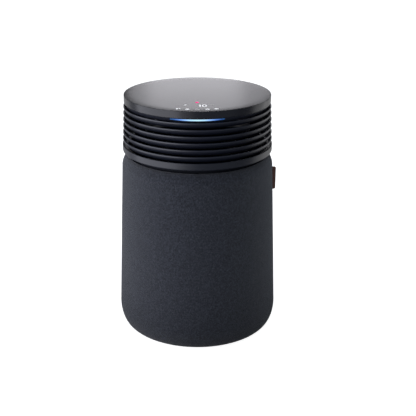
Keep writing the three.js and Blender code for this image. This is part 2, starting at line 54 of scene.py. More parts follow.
# ---- shared sizes that the frame's boxes don't give ----
WIDEST_Z = 42.9
UNDERSIDE_RADIUS = 147.8
FABRIC_EDGE_RADIUS = 128
SHOULDER_RADIUS = 153.1
SHOULDER_Z = 349.8
SHOULDER_POWER = 1.25
NECK_RADIUS = 140.4
NECK_Z = 371.2
NECK_BORE = 130
FABRIC = 2.7
FLUFF = 0.7
RECESS_RADIUS = 125.5
RECESS_Z = 4.2
LIGHT_ANGLE = 20.5
POST_ANGLES = (-60, 60, 120, 240)
BLADE_THICKNESS = 2.0
BLADE_REACH = 5.5
SEAM_ANGLE = 90
MARK_HEIGHT = 0.12

# ---- the camera: distance and height in millimetres, downward tilt in degrees ----
CAMERA_DISTANCE = 1694.46
CAMERA_HEIGHT = 895.09
CAMERA_PITCH = 20.90
CAMERA_LENS = 74.77
CAMERA_SHIFT = 0.0255


def span(node):
    """Outer radius, lowest z and highest z of a round CAD node, in millimetres."""
    low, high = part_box(node)
    return high.x / MM, low.z / MM, high.z / MM


def block(node):
    """Lowest and highest corner of a CAD node, in millimetres."""
    low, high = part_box(node)
    return low / MM, high / MM


# ---- materials ----
def tone(red, green, blue):
    """A display colour, 0 to 255, as the linear colour that shaders take."""
    return tuple(
        (c / 255 / 12.92) if c < 10.3 else ((c / 255 + 0.055) / 1.055) ** 2.4
        for c in (red, green, blue)
    )


class Finish:
    """A material and the short calls that build its nodes. A socket is linked, any other input is set."""

    def __init__(self, name, colour, roughness, **inputs):
        self.material = bpy.data.materials.new(name)
        self.material.use_nodes = True
        self.tree = self.material.node_tree
        self.shader = self.tree.nodes["Principled BSDF"]
        self.fill(self.shader, {"Base Color": colour, "Roughness": roughness, **inputs})
        self.place = self.node("ShaderNodeTexCoord")

    def fill(self, node, inputs):
        for key, value in inputs.items():
            socket = node.inputs[key]
            if isinstance(value, bpy.types.NodeSocket):
                self.tree.links.new(value, socket)
            elif socket.type == "RGBA" and len(value) == 3:
                socket.default_value = (*value, 1)
            else:
                socket.default_value = value

    def node(self, kind, inputs=None, **settings):
        made = self.tree.nodes.new(kind)
        for key, value in settings.items():
            setattr(made, key, value)
        self.fill(made, inputs or {})
        return made

    def math(self, operation, first, second=0.0):
        return self.node("ShaderNodeMath", {0: first, 1: second}, operation=operation).outputs[0]

    def speckle(self, scale, detail=2.0, coordinates="Object", roughness=0.5):
        inputs = {
            "Vector": self.place.outputs[coordinates], "Scale": scale, "Detail": detail,
            "Roughness": roughness,
        }
        return self.node("ShaderNodeTexNoise", inputs).outputs["Fac"]

    def ramp(self, factor, *stops):
        """Each stop is a place from 0 to 1 and a colour."""
        made = self.node("ShaderNodeValToRGB", {"Fac": factor})
        elements = made.color_ramp.elements
        while len(elements) < len(stops):
            elements.new(1.0)
        for element, (position, colour) in zip(elements, stops):
            element.position = position
            element.color = (*colour, 1)
        return made.outputs["Color"]

    def spread(self, factor, low, high):
        """A 0 to 1 factor spread between two values."""
        return self.node("ShaderNodeMapRange", {"Value": factor, "To Min": low, "To Max": high}).outputs[0]

    def relief(self, height, distance, strength=1.0):
        inputs = {"Height": height, "Distance": distance * MM, "Strength": strength}
        bump = self.node("ShaderNodeBump", inputs)
        self.fill(self.shader, {"Normal": bump.outputs["Normal"]})


def shades(colour, *factors):
    return [tuple(c * factor for c in colour) for factor in factors]


def moulded(name, colour, roughness, grain=900, depth=0.03, **inputs):
    """Moulded plastic: a fine spark-eroded grain, and a little variation in colour and gloss."""
    made = Finish(name, colour, roughness, **inputs)
    cloud = made.speckle(14, 3)
    dark, light = shades(colour, 0.86, 1.14)
    made.fill(made.shader, {
        "Base Color": made.ramp(cloud, (0.3, dark), (0.7, light)),
        "Roughness": made.spread(made.speckle(60, 4), roughness - 0.04, roughness + 0.05),
    })
    made.relief(made.speckle(grain, 2), depth)
    return made.material


def louvre_finish_with_painted_shade(colour, roughness):
    """Satin plastic on the louvres' upright noses, and a rougher one on the blades below them, whose darker
    colour and weaker specular are painted shade, as the blades face down, away from the light.
    """
    made = Finish("louvre_black", colour, roughness)
    upward = made.node("ShaderNodeSeparateXYZ", {"Vector": made.place.outputs["Normal"]}).outputs["Z"]
    nose = made.node(
        "ShaderNodeMapRange", {"Value": upward, "From Min": -0.5, "From Max": -0.08},
    ).outputs[0]
    # Painted shade: the colour darkens and the specular weakens as the surface turns to face down.
    made.fill(made.shader, {
        "Base Color": made.ramp(nose, (0.0, (0.0045, 0.006, 0.013)), (1.0, colour)),
        "Roughness": made.spread(nose, 0.6, roughness),
        "Specular IOR Level": made.spread(nose, 0.2, 0.62),
    })
    made.relief(made.speckle(1200, 2), 0.012)
    return made.material


def knit_fabric():
    """A heathered knit: rows of small stitches in charcoal yarns of different tones."""
    made = Finish("knit_fabric", (0.05, 0.055, 0.075), 0.92)
    made.fill(made.shader, {"Sheen Weight": 0.22, "Sheen Roughness": 0.6, "Specular IOR Level": 0.2})
    stitch = 1.7 * MM
    split = made.node("ShaderNodeSeparateXYZ", {"Vector": made.place.outputs["UV"]})
    across = made.math("MULTIPLY", split.outputs["X"], 2 * math.pi / stitch)
    upward = made.math("MULTIPLY", split.outputs["Y"], 2 * math.pi / (stitch * 0.8))
    lean = made.math("MULTIPLY", made.math("SINE", across), 1.1)
    rows = made.math("SINE", made.math("ADD", upward, lean))
    columns = made.math("COSINE", across)
    weave = made.math("ADD", made.math("MULTIPLY", rows, 0.5), made.math("MULTIPLY", columns, 0.35))
    fluff = made.speckle(1800, 3, "UV")
    made.relief(made.math("ADD", weave, made.math("MULTIPLY", fluff, 1.2)), 0.35, 0.7)
    scaled = made.node(
        "ShaderNodeMapping",
        {"Vector": made.place.outputs["UV"], "Scale": (1 / stitch, 0.7 / stitch, 1)},
    )
    yarns = made.node(
        "ShaderNodeTexVoronoi", {"Vector": scaled.outputs[0], "Scale": 1.0}, voronoi_dimensions="2D",
    )
    yarn = made.node("ShaderNodeSeparateColor", {"Color": yarns.outputs["Color"]}).outputs[0]
    blotch = made.node("ShaderNodeMapRange", {
        "Value": made.speckle(260, 4, "UV", 0.6), "From Min": 0.3, "From Max": 0.7, "To Max": 0.5,
    }).outputs[0]
    heather = made.math("ADD", made.math("MULTIPLY", yarn, 0.5), blotch)
    heather = made.math("ADD", heather, made.math("MULTIPLY", rows, 0.05))
    colours = made.ramp(
        heather,
        (0.15, (0.0085, 0.0098, 0.0150)),
        (0.5, (0.0200, 0.0226, 0.0330)),
        (0.9, (0.0425, 0.0470, 0.0630)),
    )
    made.fill(made.shader, {"Base Color": colours})
    return made.material


def brown_leather():
    """Smooth brown leather with a fine grain, darker where it turns over at the outer edge."""
    made = Finish("brown_leather", (0.1, 0.05, 0.035), 0.55)
    made.fill(made.shader, {"Specular IOR Level": 0.35})
    cells = made.node("ShaderNodeTexVoronoi", {"Vector": made.place.outputs["Object"], "Scale": 900.0})
    low, high = block("leather_tab")
    split = made.node("ShaderNodeSeparateXYZ", {"Vector": made.place.outputs["Object"]})
    # Darker towards the outer edge, where the strip turns over.
    towards_outer_edge = made.node("ShaderNodeMapRange", {
        "Value": split.outputs["X"], "From Min": (high.x - 3.2) * MM, "From Max": (high.x - 0.8) * MM,
    }).outputs[0]
    clouds = made.math("MULTIPLY", made.speckle(160, 4), 0.5)
    factor = made.math("SUBTRACT", made.math("ADD", clouds, 0.5), made.math("MULTIPLY", towards_outer_edge, 0.55))
    colours = made.ramp(
        factor, (0.1, (0.075, 0.026, 0.016)), (0.75, (0.23, 0.105, 0.076)), (1.0, (0.33, 0.17, 0.13)),
    )
    made.fill(made.shader, {"Base Color": colours})
    made.relief(made.math("ADD", cells.outputs["Distance"], made.speckle(500, 3)), 0.12)
    return made.material


def top_plate_finish():
    """Smooth satin plastic with a faint variation in colour and gloss."""
    colour = (0.010, 0.011, 0.017)
    made = Finish("gloss_black", colour, 0.26, IOR=1.52)
    cloud = made.speckle(7, 1)
    dark, light = shades(colour, 0.9, 1.1)
    made.fill(made.shader, {
        "Base Color": made.ramp(cloud, (0.3, dark), (0.7, light)),
        "Roughness": made.spread(cloud, 0.25, 0.275),
    })
    return made.material


def brushed_metal(name, colour, roughness):
    made = Finish(name, colour, roughness, Metallic=1.0)
    stretched = made.node(
        "ShaderNodeMapping", {"Vector": made.place.outputs["Object"], "Scale": (60, 60, 2500)},
    )
    streaks = made.node(
        "ShaderNodeTexNoise", {"Vector": stretched.outputs[0], "Scale": 1.0, "Detail": 3.0},
    ).outputs["Fac"]
    made.fill(made.shader, {"Roughness": made.spread(streaks, roughness - 0.08, roughness + 0.14)})
    made.relief(streaks, 0.02)
    return made.material


def filter_paper():
    """Fluffy white fibre sheet."""
    made = Finish("filter_paper", (0.78, 0.78, 0.75), 0.95)
    fibres = made.speckle(900, 6, roughness=0.7)
    made.fill(
        made.shader,
        {"Base Color": made.ramp(fibres, (0.3, (0.62, 0.62, 0.59)), (0.7, (0.84, 0.84, 0.81)))},
    )
    made.relief(fibres, 0.25)
    return made.material


def carbon_mesh():
    """Black granules behind a fine net."""
    made = Finish("carbon", (0.012, 0.012, 0.013), 0.9)
    grains = made.node("ShaderNodeTexVoronoi", {"Vector": made.place.outputs["Object"], "Scale": 420.0})
    made.fill(made.shader, {
        "Base Color": made.ramp(
            grains.outputs["Distance"], (0.1, (0.035, 0.035, 0.037)), (0.6, (0.004, 0.004, 0.004)),
        )
    })
    made.relief(grains.outputs["Distance"], -0.8)
    return made.material


def circuit_board():
    """Green solder mask with faint copper tracks under it."""
    made = Finish("circuit_board", (0.01, 0.06, 0.03), 0.35)
    tracks = made.node("ShaderNodeTexBrick", {
        "Vector": made.place.outputs["Object"], "Scale": 160.0,
        "Color1": (0.010, 0.062, 0.032), "Color2": (0.014, 0.080, 0.040), "Mortar": (0.03, 0.12, 0.06),
    })
    made.fill(made.shader, {"Base Color": tracks.outputs["Color"]})
    made.relief(tracks.outputs["Fac"], 0.05)
    return made.material


def lit(name, colour, strength=1.0):
    """A small mark lit from behind, a little brighter in its middle grain."""
    made = Finish(name, shades(colour, 0.5)[0], 0.4)
    glow = made.ramp(made.speckle(700, 2), (0.2, shades(colour, 0.92)[0]), (0.8, colour))
    made.fill(made.shader, {"Emission Color": glow, "Emission Strength": strength})
    return made.material


def light_bar_finish():
    """A light guide: nearly white in the middle, fading through blue to dark blue ends."""
    made = Finish("light_bar", (0.05, 0.12, 0.25), 0.35)
    split = made.node("ShaderNodeSeparateXYZ", {"Vector": made.place.outputs["Object"]})
    forward = made.math("MULTIPLY", split.outputs["Y"], -1.0)
    angle = made.math("ABSOLUTE", made.math("ARCTAN2", split.outputs["X"], forward))
    share = made.math("DIVIDE", angle, math.radians(LIGHT_ANGLE))
    glow = made.ramp(
        share,
        (0.0, tone(196, 240, 255)),
        (0.29, tone(178, 224, 255)),
        (0.41, tone(155, 198, 252)),
        (0.64, tone(90, 132, 206)),
        (0.77, tone(62, 100, 174)),
        (0.88, tone(24, 64, 120)),
        (1.0, tone(18, 58, 108)),
    )
    made.fill(made.shader, {"Emission Color": glow, "Emission Strength": 1.0})
    return made.material


FINISHES = {
    "knit_fabric": knit_fabric(),
    "brown_leather": brown_leather(),
    "gloss_black": top_plate_finish(),
    "satin_black": moulded("satin_black", (0.0158, 0.0178, 0.0268), 0.34, 1200, 0.012),
    "inner_plastic": moulded(
        "inner_plastic", (0.0028, 0.0034, 0.0068), 0.7, **{"Specular IOR Level": 0.03},
    ),
    "grey_plastic": moulded("grey_plastic", (0.30, 0.31, 0.32), 0.5),
    "rubber": moulded("rubber", (0.014, 0.014, 0.015), 0.8, 500, 0.08),
    "steel": brushed_metal("steel", (0.42, 0.43, 0.45), 0.32),
    "brass": brushed_metal("brass", (0.56, 0.38, 0.14), 0.3),
    "circuit_board": circuit_board(),
    "filter_paper": filter_paper(),
    "carbon": carbon_mesh(),
    "lit_plastic": light_bar_finish(),
}
LOUVRE_BLACK = louvre_finish_with_painted_shade((0.0145, 0.0175, 0.031), 0.33)
# Painted shade: a darker, duller black for the neck ring, standing in for the shadow in the gap under the
# collar.
PAINTED_SHADE_NECK = moulded("painted_shade_neck", (0.006, 0.0068, 0.0105), 0.65, **{"Specular IOR Level": 0.08})
# Painted shade: the impeller's grey plastic is made near-black and nearly unreflective, so it stays as dark
# as the shaded inside of the head.
PAINTED_SHADE_FAN = moulded("painted_shade_fan", (0.004, 0.0048, 0.008), 0.7, **{"Specular IOR Level": 0.05})
# Painted shade: the housing screws' steel made nearly black, so that they don't glint inside the shaded
# head.
PAINTED_SHADE_STEEL = brushed_metal("painted_shade_steel", (0.018, 0.018, 0.02), 0.5)
WHITE_LIGHT = lit("white_light", tone(236, 238, 242))
FAINT_LIGHT = lit("faint_light", tone(178, 178, 183))
MAGENTA_LIGHT = lit("magenta_light", tone(255, 20, 132))


# ---- shapes: each is a list of points in millimetres and a list of faces ----
def evenly(first, last, count):
    """Evenly spaced values from the first to the last."""
    return [first + (last - first) * i / (count - 1) for i in range(count)]


def around(radius, angle):
    """The spot at a radius and an angle in degrees from the front."""
    turn = math.radians(angle)
    return radius * math.sin(turn), -radius * math.cos(turn)


def rounded(outline, closed, steps=4):
    """The outline with each corner that has a third number, a radius, turned into a curve."""
    points = []
    for i, corner in enumerate(outline):
        here = Vector(corner[:2])
        radius = corner[2] if len(corner) > 2 else 0
        if not radius or (not closed and i in (0, len(outline) - 1)):
            points.append(here)
            continue
        before = Vector(outline[i - 1][:2]) - here
        after = Vector(outline[(i + 1) % len(outline)][:2]) - here
        reach = min(radius / math.tan(before.angle(after) / 2), 0.48 * before.length, 0.48 * after.length)
        start = here + before.normalized() * reach
        end = here + after.normalized() * reach
        for k in range(steps + 1):
            t = k / steps
            points.append((1 - t) ** 2 * start + 2 * t * (1 - t) * here + t * t * end)
    return points


def turned(outline, angles=192, sweep=None, steps=4):
    """The outline of (radius, z) points turned round the Z axis. It runs anticlockwise, and closes on
    itself or starts and ends on the axis. sweep is a pair of angles if it isn't a full turn."""
    closed = outline[0][0] > 0
    line = rounded(outline, closed, steps)
    if isinstance(angles, int):
        first, last = sweep or (0, 360)
        count = angles if sweep is None else angles + 1
        angles = [first + (last - first) * i / angles for i in range(count)]
    points, rings = [], []
    for radius, z in line:
        if radius < 1e-6:
            rings.append([len(points)] * len(angles))
            points.append((0, 0, z))
        else:
            rings.append(range(len(points), len(points) + len(angles)))
            points.extend((*around(radius, angle), z) for angle in angles)
    faces = []
    pairs = list(zip(rings, rings[1:]))
    if closed:
        pairs.append((rings[-1], rings[0]))
    columns = range(len(angles) if sweep is None else len(angles) - 1)
    for below, above in pairs:
        for j in columns:
            k = (j + 1) % len(angles)
            corners = [below[j], below[k], above[k], above[j]]
            faces.append([c for n, c in enumerate(corners) if c != corners[n - 1]])
    if sweep is not None:
        faces.append([ring[0] for ring in rings])
        faces.append([ring[-1] for ring in reversed(rings)])
    return points, faces


def from_bmesh(made):
    made.verts.index_update()
    points = [tuple(v.co) for v in made.verts]
    faces = [[v.index for v in face.verts] for face in made.faces]
    made.free()
    return points, faces


def softened(made, bevel, segments=2, angle=30):
    """Rounds every edge of a bmesh that is sharper than an angle."""
    bmesh.ops.recalc_face_normals(made, faces=made.faces)
    sharp = [e for e in made.edges if len(e.link_faces) == 2 and e.calc_face_angle() > math.radians(angle)]
    if bevel and sharp:
        bmesh.ops.bevel(made, geom=sharp, offset=bevel, segments=segments, affect="EDGES", profile=0.5)
    return from_bmesh(made)


def box(low, high, bevel=0.6):
    made = bmesh.new()
    bmesh.ops.create_cube(made, size=1)
    low, high = Vector(low), Vector(high)
    for v in made.verts:
        v.co = Vector(low[i] if v.co[i] < 0 else high[i] for i in range(3))
    return softened(made, bevel)


def prism(outline, low, high, bevel=0.4, steps=4):
    """An outline of (x, y) points, with optional corner radii, raised from one height to another."""
    made = bmesh.new()
    line = rounded(outline, True, steps)
    rows = [[made.verts.new((x, y, z)) for x, y in line] for z in (low, high)]
    made.faces.new(reversed(rows[0]))
    made.faces.new(rows[1])
    for i in range(len(line)):
        k = (i + 1) % len(line)
        made.faces.new([rows[0][i], rows[0][k], rows[1][k], rows[1][i]])
    return softened(made, bevel)


def tube(path, radius, sides=12):
    """A round bar along a list of points, closed at both ends."""
    path = [Vector(p) for p in path]
    points, faces = [], []
    for i, here in enumerate(path):
        along = (path[min(i + 1, len(path) - 1)] - path[max(i - 1, 0)]).normalized()
        side = along.orthogonal().normalized() if i == 0 else (side - along * side.dot(along)).normalized()
        other = along.cross(side)
        for k in range(sides):
            turn = 2 * math.pi * k / sides
            points.append(tuple(here + radius * (math.cos(turn) * side + math.sin(turn) * other)))
    for i in range(len(path) - 1):
        for k in range(sides):
            n = (k + 1) % sides
            faces.append([i * sides + k, i * sides + n, (i + 1) * sides + n, (i + 1) * sides + k])
    faces.append(list(reversed(range(sides))))
    faces.append(list(range(len(points) - sides, len(points))))
    return points, faces


def slab(below, above):
    """A closed sheet between two equal grids of points."""
    across, along = len(below), len(below[0])
    points = [p for grid in (below, above) for line in grid for p in line]

    def at(layer, i, k):
        return (layer * across + i) * along + k

    faces = []
    for i in range(across - 1):
        for k in range(along - 1):
            faces.append([at(1, i, k), at(1, i + 1, k), at(1, i + 1, k + 1), at(1, i, k + 1)])
            faces.append([at(0, i, k), at(0, i, k + 1), at(0, i + 1, k + 1), at(0, i + 1, k)])
        faces.append([at(0, i, 0), at(0, i + 1, 0), at(1, i + 1, 0), at(1, i, 0)])
        faces.append([at(n, j, along - 1) for n, j in ((0, i + 1), (0, i), (1, i), (1, i + 1))])
    for k in range(along - 1):
        faces.append([at(0, 0, k + 1), at(0, 0, k), at(1, 0, k), at(1, 0, k + 1)])
        faces.append([at(n, across - 1, j) for n, j in ((0, k), (0, k + 1), (1, k + 1), (1, k))])
    return points, faces


def moved(shape, offset=(0, 0, 0), angle=0, tilt=None):
    """A shape tilted by a matrix, shifted, then turned round the Z axis by an angle."""
    points, faces = shape
    change = Matrix.Rotation(math.radians(angle), 4, "Z") @ Matrix.Translation(offset)
    if tilt is not None:
        change = change @ tilt
    return [tuple(change @ Vector(p)) for p in points], faces


def ring_outline(inner, outer, low, high, soft):
    """A plain ring's outline with soft edges."""
    return [(inner, low, soft), (outer, low, soft), (outer, high, soft), (inner, high, soft)]


def together(*shapes):
    points, faces = [], []
    for more_points, more_faces in shapes:
        start = len(points)
        points.extend(more_points)
        faces.extend([start + i for i in face] for face in more_faces)
    return points, faces


def repeated(shape, count, first=0.0):
    """Copies of a shape, evenly spaced round the Z axis."""
    return together(*(moved(shape, angle=first + 360 * i / count) for i in range(count)))


# ---- pieces ----
def mesh_of(name, shape, crease=35):
    points, faces = shape
    mesh = bpy.data.meshes.new(name)
    mesh.from_pydata([(x * MM, y * MM, z * MM) for x, y, z in points], [], faces)
    mesh.validate()
    mesh.shade_smooth()
    mesh.set_sharp_from_angle(angle=math.radians(crease))
    return mesh


def piece(name, shape, body, slot, replaces=None, material=None, cut=None, crease=35):
    """Makes a piece, puts it on its body and hides the CAD nodes that it stands for."""
    made = bpy.data.objects.new(name, mesh_of(name, shape, crease))
    bpy.context.scene.collection.objects.link(made)
    if cut is not None:
        carve(made, cut)
    made.data.materials.clear()
    made.data.materials.append(material or FINISHES[slot])
    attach(made, body)
    nodes = [name] if replaces is None else replaces
    if nodes:
        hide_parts(*nodes)
    return made


def finish_cad(**slots):
    """CAD shapes that stay as they are, since they're shut inside or complete, and only take a finish."""
    for name, slot in slots.items():
        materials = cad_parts[name].data.materials
        materials.clear()
        materials.append(FINISHES[slot])


def carve(made, shape):
    """Cuts a shape out of a piece."""
    tool = bpy.data.objects.new("tool", mesh_of("tool", shape))
    bpy.context.scene.collection.objects.link(tool)
    modifier = made.modifiers.new("cut", "BOOLEAN")
    modifier.operation = "DIFFERENCE"
    modifier.solver = "MANIFOLD"
    modifier.object = tool
    graph = bpy.context.evaluated_depsgraph_get()
    mesh = bpy.data.meshes.new_from_object(made.evaluated_get(graph))
    made.modifiers.clear()
    made.data = mesh
    mesh.set_sharp_from_angle(angle=math.radians(35))
    bpy.data.objects.remove(tool)


def screw(head_radius, low, high):
    """A pan head, seen from above. Its cross recess is cut afterwards."""
    rim = low + 0.45 * (high - low)
    outline = [
        (0, low), (head_radius, low, 0.3), (head_radius, rim, 0.6), (head_radius * 0.55, high, 0.4),
        (0, high),
    ]
    return turned(outline, 24)


def cross(centre, half_width, half_length, low, high):
    """Two crossed bars, which cut the recess in a screw's head."""
    return together(*(
        box((centre.x - a, centre.y - b, low), (centre.x + a, centre.y + b, high), 0)
        for a, b in ((half_width, half_length), (half_length, half_width))
    ))


def disc(node):
    """Centre, radius, lowest and highest corner of a small upright CAD cylinder."""
    low, high = block(node)
    return (low + high) / 2, (high.x - low.x) / 2, low, high


# ---- the base ----
def shoulder(inset, first=0, count=15):
    """The rounded shoulder's outline, moved inwards, from an angle along its curve up to its edge."""
    return [(
        NECK_RADIUS - inset + (SHOULDER_RADIUS - NECK_RADIUS) * max(math.cos(turn), 0) ** SHOULDER_POWER,
        SHOULDER_Z + (NECK_Z - max(inset, 0) - SHOULDER_Z) * math.sin(turn) ** SHOULDER_POWER,
    ) for turn in evenly(math.radians(first), math.pi / 2, count)]


def underside(radius, low, count):
    """The rounded lower edge's outline, from underneath up to the widest point."""
    return [(
        UNDERSIDE_RADIUS + (radius - UNDERSIDE_RADIUS) * math.sin(turn),
        WIDEST_Z - (WIDEST_Z - low) * math.cos(turn),
    ) for turn in evenly(0, math.pi / 2, count)]


def fabric_outline(thickness):
    """The sleeve's outline, moved inwards, from its edge under the base up to its edge at the neck."""
    radius, low, _ = span("fabric_sleeve")
    inset = thickness - FLUFF
    outline = [(FABRIC_EDGE_RADIUS, low + thickness)]
    outline += underside(radius - inset, low + thickness, 15)
    for share in evenly(0, 1, 27)[1:-1]:
        outline.append((
            radius - inset + (SHOULDER_RADIUS - radius) * share,
            WIDEST_Z + (SHOULDER_Z - WIDEST_Z) * share,
        ))
    return outline + shoulder(inset)


def seam_angles():
    """Angles round the sleeve, closer together beside its seam."""
    even = [1.5 * i for i in range(240)]
    near = [SEAM_ANGLE + offset for offset in (-0.9, -0.6, -0.35, -0.15, 0.15, 0.35, 0.6, 0.9)]
    return sorted(even + near)


def fabric_sleeve():
    """The knitted sleeve: one closed sheet with a sewn seam that draws it in, and slight unevenness."""
    radius = span("fabric_sleeve")[0]
    outer, inner = fabric_outline(0), fabric_outline(FABRIC)
    angles = seam_angles()
    points, faces = turned([*outer, *reversed(inner)], angles)
    count = len(angles)
    for n, (x, y, z) in enumerate(points):
        reach = math.hypot(x, y)
        angle = math.degrees(math.atan2(x, -y)) % 360
        beside = (angle - SEAM_ANGLE) / 0.45
        sink = 0.8 * math.exp(-beside * beside) if n < len(outer) * count else 0
        wave = 0.25 * noise.noise(Vector((x, y, 0.5 * z)) / 45) if n < len(outer) * count else 0
        scale = (reach - sink + wave) / reach
        points[n] = (x * scale, y * scale, z)
    inlet_low, inlet_high = block("power_inlet")
    opening = box(
        (inlet_low.x - 0.6, inlet_low.y, inlet_low.z - 0.6),
        (inlet_high.x + 0.6, radius + 5, inlet_high.z + 0.6), 0,
    )
    made = piece("fabric_sleeve", (points, faces), "base", "knit_fabric", cut=opening, crease=60)
    unwrap(made, radius, outer)
    return made


def unwrap(made, radius, outline):
    """UVs in metres: round the body, and up along the outline."""
    lengths = np.concatenate([[0], np.cumsum([math.dist(a, b) for a, b in zip(outline, outline[1:])])])
    heights = np.array([z for _, z in outline])
    mesh = made.data
    layer = mesh.uv_layers.new(name="UVMap")
    for polygon in mesh.polygons:
        middle = math.atan2(polygon.center.x, -polygon.center.y)
        for loop in polygon.loop_indices:
            co = mesh.vertices[mesh.loops[loop].vertex_index].co
            angle = math.atan2(co.x, -co.y)
            angle += 2 * math.pi * round((middle - angle) / (2 * math.pi))
            z = co.z / MM
            along = np.interp(z, heights, lengths) * MM
            if z < heights[0] + 4:
                along = (math.hypot(co.x, co.y) / MM - outline[0][0]) * MM
            layer.data[loop].uv = (angle * radius * MM, along)


def leather_tab():
    """A folded leather strip, sewn into the seam: two layers and the round bend that joins them."""
    low, high = block("leather_tab")
    thickness = 1.5
    half = 1.9
    root = low.x - 1.2
    bend = high.x - half - 0.1
    path = [(root, -0.9), (root + 2.5, -1.0), (bend - 2, -half + thickness / 2)]
    for i in range(9):
        turn = math.pi * i / 8 - math.pi / 2
        path.append((
            bend + (half - thickness / 2) * math.cos(turn) * 1.1,
            (half - thickness / 2) * math.sin(turn),
        ))
    path += [(x, -y) for x, y in path[2::-1]]
    path = [Vector(p) for p in path]
    rows = 24
    corner = 3.2
    sides = []
    for i, here in enumerate(path):
        along = (path[min(i + 1, len(path) - 1)] - path[max(i - 1, 0)]).normalized()
        normal = Vector((along.y, -along.x))
        sides.append((here + normal * thickness / 2, here - normal * thickness / 2))
    layers = []
    for layer in (1, 0):
        grid = []
        for pair in sides:
            x, y = pair[layer]
            beyond = max(0.0, min(1.0, (x - (high.x - corner)) / corner))
            inset = corner * (1 - math.sqrt(1 - beyond * beyond))
            grid.append([(x, y, z) for z in evenly(low.z + inset, high.z - inset, rows + 1)])
        layers.append(grid)
    made = bmesh.new()
    points, faces = slab(*layers)
    corners = [made.verts.new(p) for p in points]
    for face in faces:
        made.faces.new([corners[n] for n in face])
    piece("leather_tab", softened(made, 0.3, angle=50), "base", "brown_leather")
    stitches = []
    for side in (-1, 1):
        for i in range(11):
            z = low.z + 3 + i * (high.z - low.z - 6) / 10
            line = [
                (low.x + 1.3, side * (1.75 + 0.25 * math.sin(math.pi * t / 4)), z + 0.8 * (t - 2) * 0.5)
                for t in range(5)
            ]
            stitches.append(tube(line, 0.28, 6))
    piece("tab_stitches", together(*stitches), "base", "brown_leather", replaces=[])


def base_pan():
    radius, low, high = span("base_pan")
    wall = 3
    floor = RECESS_Z + wall
    edge = FABRIC_EDGE_RADIUS - 0.6
    outline = [
        (0, RECESS_Z), (RECESS_RADIUS, RECESS_Z, 0.6), (RECESS_RADIUS, low, 0.5), (edge, low, 0.5),
        (edge, low + 2.8),
    ]
    outline += underside(radius, low + 2.8, 11)
    outline += [
        (radius, high, 0.5), (radius - wall, high, 0.5), (radius - wall, high - 10, 6),
        (UNDERSIDE_RADIUS - 3, floor, 10), (0, floor),
    ]
    inlet_low, inlet_high = block("power_inlet")
    hole = box(
        (inlet_low.x - 0.4, inlet_low.y, inlet_low.z - 0.4),
        (inlet_high.x + 0.4, radius + 5, inlet_high.z + 0.4), 0,
    )
    piece("base_pan", turned(outline, 144), "base", "inner_plastic", cut=hole)
    ribs = []
    for middle in (24, 42, 60, 78):
        rib = [
            (middle - 0.9, RECESS_Z + 0.2), (middle - 0.7, RECESS_Z - 1, 0.4),
            (middle + 0.7, RECESS_Z - 1, 0.4), (middle + 0.9, RECESS_Z + 0.2),
        ]
        ribs.append(turned(rib, 96))
    piece("underside_ribs", together(*ribs), "base", "inner_plastic", replaces=[])


def feet():
    for i in range(4):
        centre, radius, low, high = disc(f"foot_{i + 1}")
        pad = turned([
            (0, 0.5), (radius * 0.35, 0.5, 0.3), (radius * 0.42, 0, 0.3), (radius * 0.6, 0, 0.3),
            (radius * 0.66, 0.5, 0.3), (radius * 0.72, 0, 0.3), (radius - 0.3, 0, 0.8),
            (radius, high.z, 0.4), (0, high.z),
        ], 48)
        piece(f"foot_{i + 1}", moved(pad, (centre.x, centre.y, 0)), "base", "rubber")
    for i in range(3):
        centre, radius, low, high = disc(f"base_screw_{i + 1}")
        upright = screw(radius, 0, high.z - low.z)
        flipped = moved(upright, (centre.x, centre.y, high.z), tilt=Matrix.Rotation(math.pi, 4, "X"))
        recess = cross(centre, 0.45, 1.9, low.z - 1, low.z + 0.8)
        piece(f"base_screw_{i + 1}", flipped, "base", "steel", cut=recess)


def filter_seat():
    radius, low, high = span("filter_seat")
    top = low + 3
    rib = 128
    outline = [
        (0, low), (radius, low, 0.5), (radius, top, 0.5), (rib + 1, top, 1), (rib + 0.5, high, 0.5),
        (rib - 1.5, high, 0.5), (rib - 1.5, top, 0.8),
    ]
    for r in (96, 64, 32):
        outline += [(r + 1.5, top, 0.5), (r, top - 1, 0.5), (r - 1.5, top, 0.5)]
    outline.append((0, top))
    slot = box((14, 134, low - 1), (30, 152, top + 1), 0)
    piece("filter_seat", turned(outline, 144), "base", "inner_plastic", cut=slot)


def intake_cage():
    """Slim upright ribs and hoops that hold the fabric out and let the air through."""
    radius, low, high = span("intake_cage")
    top_radius = SHOULDER_RADIUS - 2.6
    wall = 2.0

    def at(z):
        return radius + (top_radius - radius) * (z - low) / (SHOULDER_Z - low)

    hoops = []
    count = 8
    for i in range(count + 1):
        middle = low + 2.5 + (high - low - 5) * i / count
        depth = 5 if i in (0, count) else 2.2
        edges = at(middle) - wall, at(middle) - 0.1, middle - depth / 2, middle + depth / 2
        hoops.append(turned(ring_outline(*edges, 0.5), 144, steps=2))
    rib_points = [(-1.1, 0), (1.1, 0), (1.1, 2.2), (-1.1, 2.2)]
    made = bmesh.new()
    rows = []
    for z in (low, high):
        rows.append([made.verts.new((x, -(at(z) - 0.2 - y), z)) for x, y in rib_points])
    made.faces.new(rows[0])
    made.faces.new(reversed(rows[1]))
    for i in range(4):
        k = (i + 1) % 4
        made.faces.new([rows[0][i], rows[1][i], rows[1][k], rows[0][k]])
    rib = softened(made, 0.5)
    piece("intake_cage", together(*hoops, repeated(rib, 36, 5)), "base", "inner_plastic")


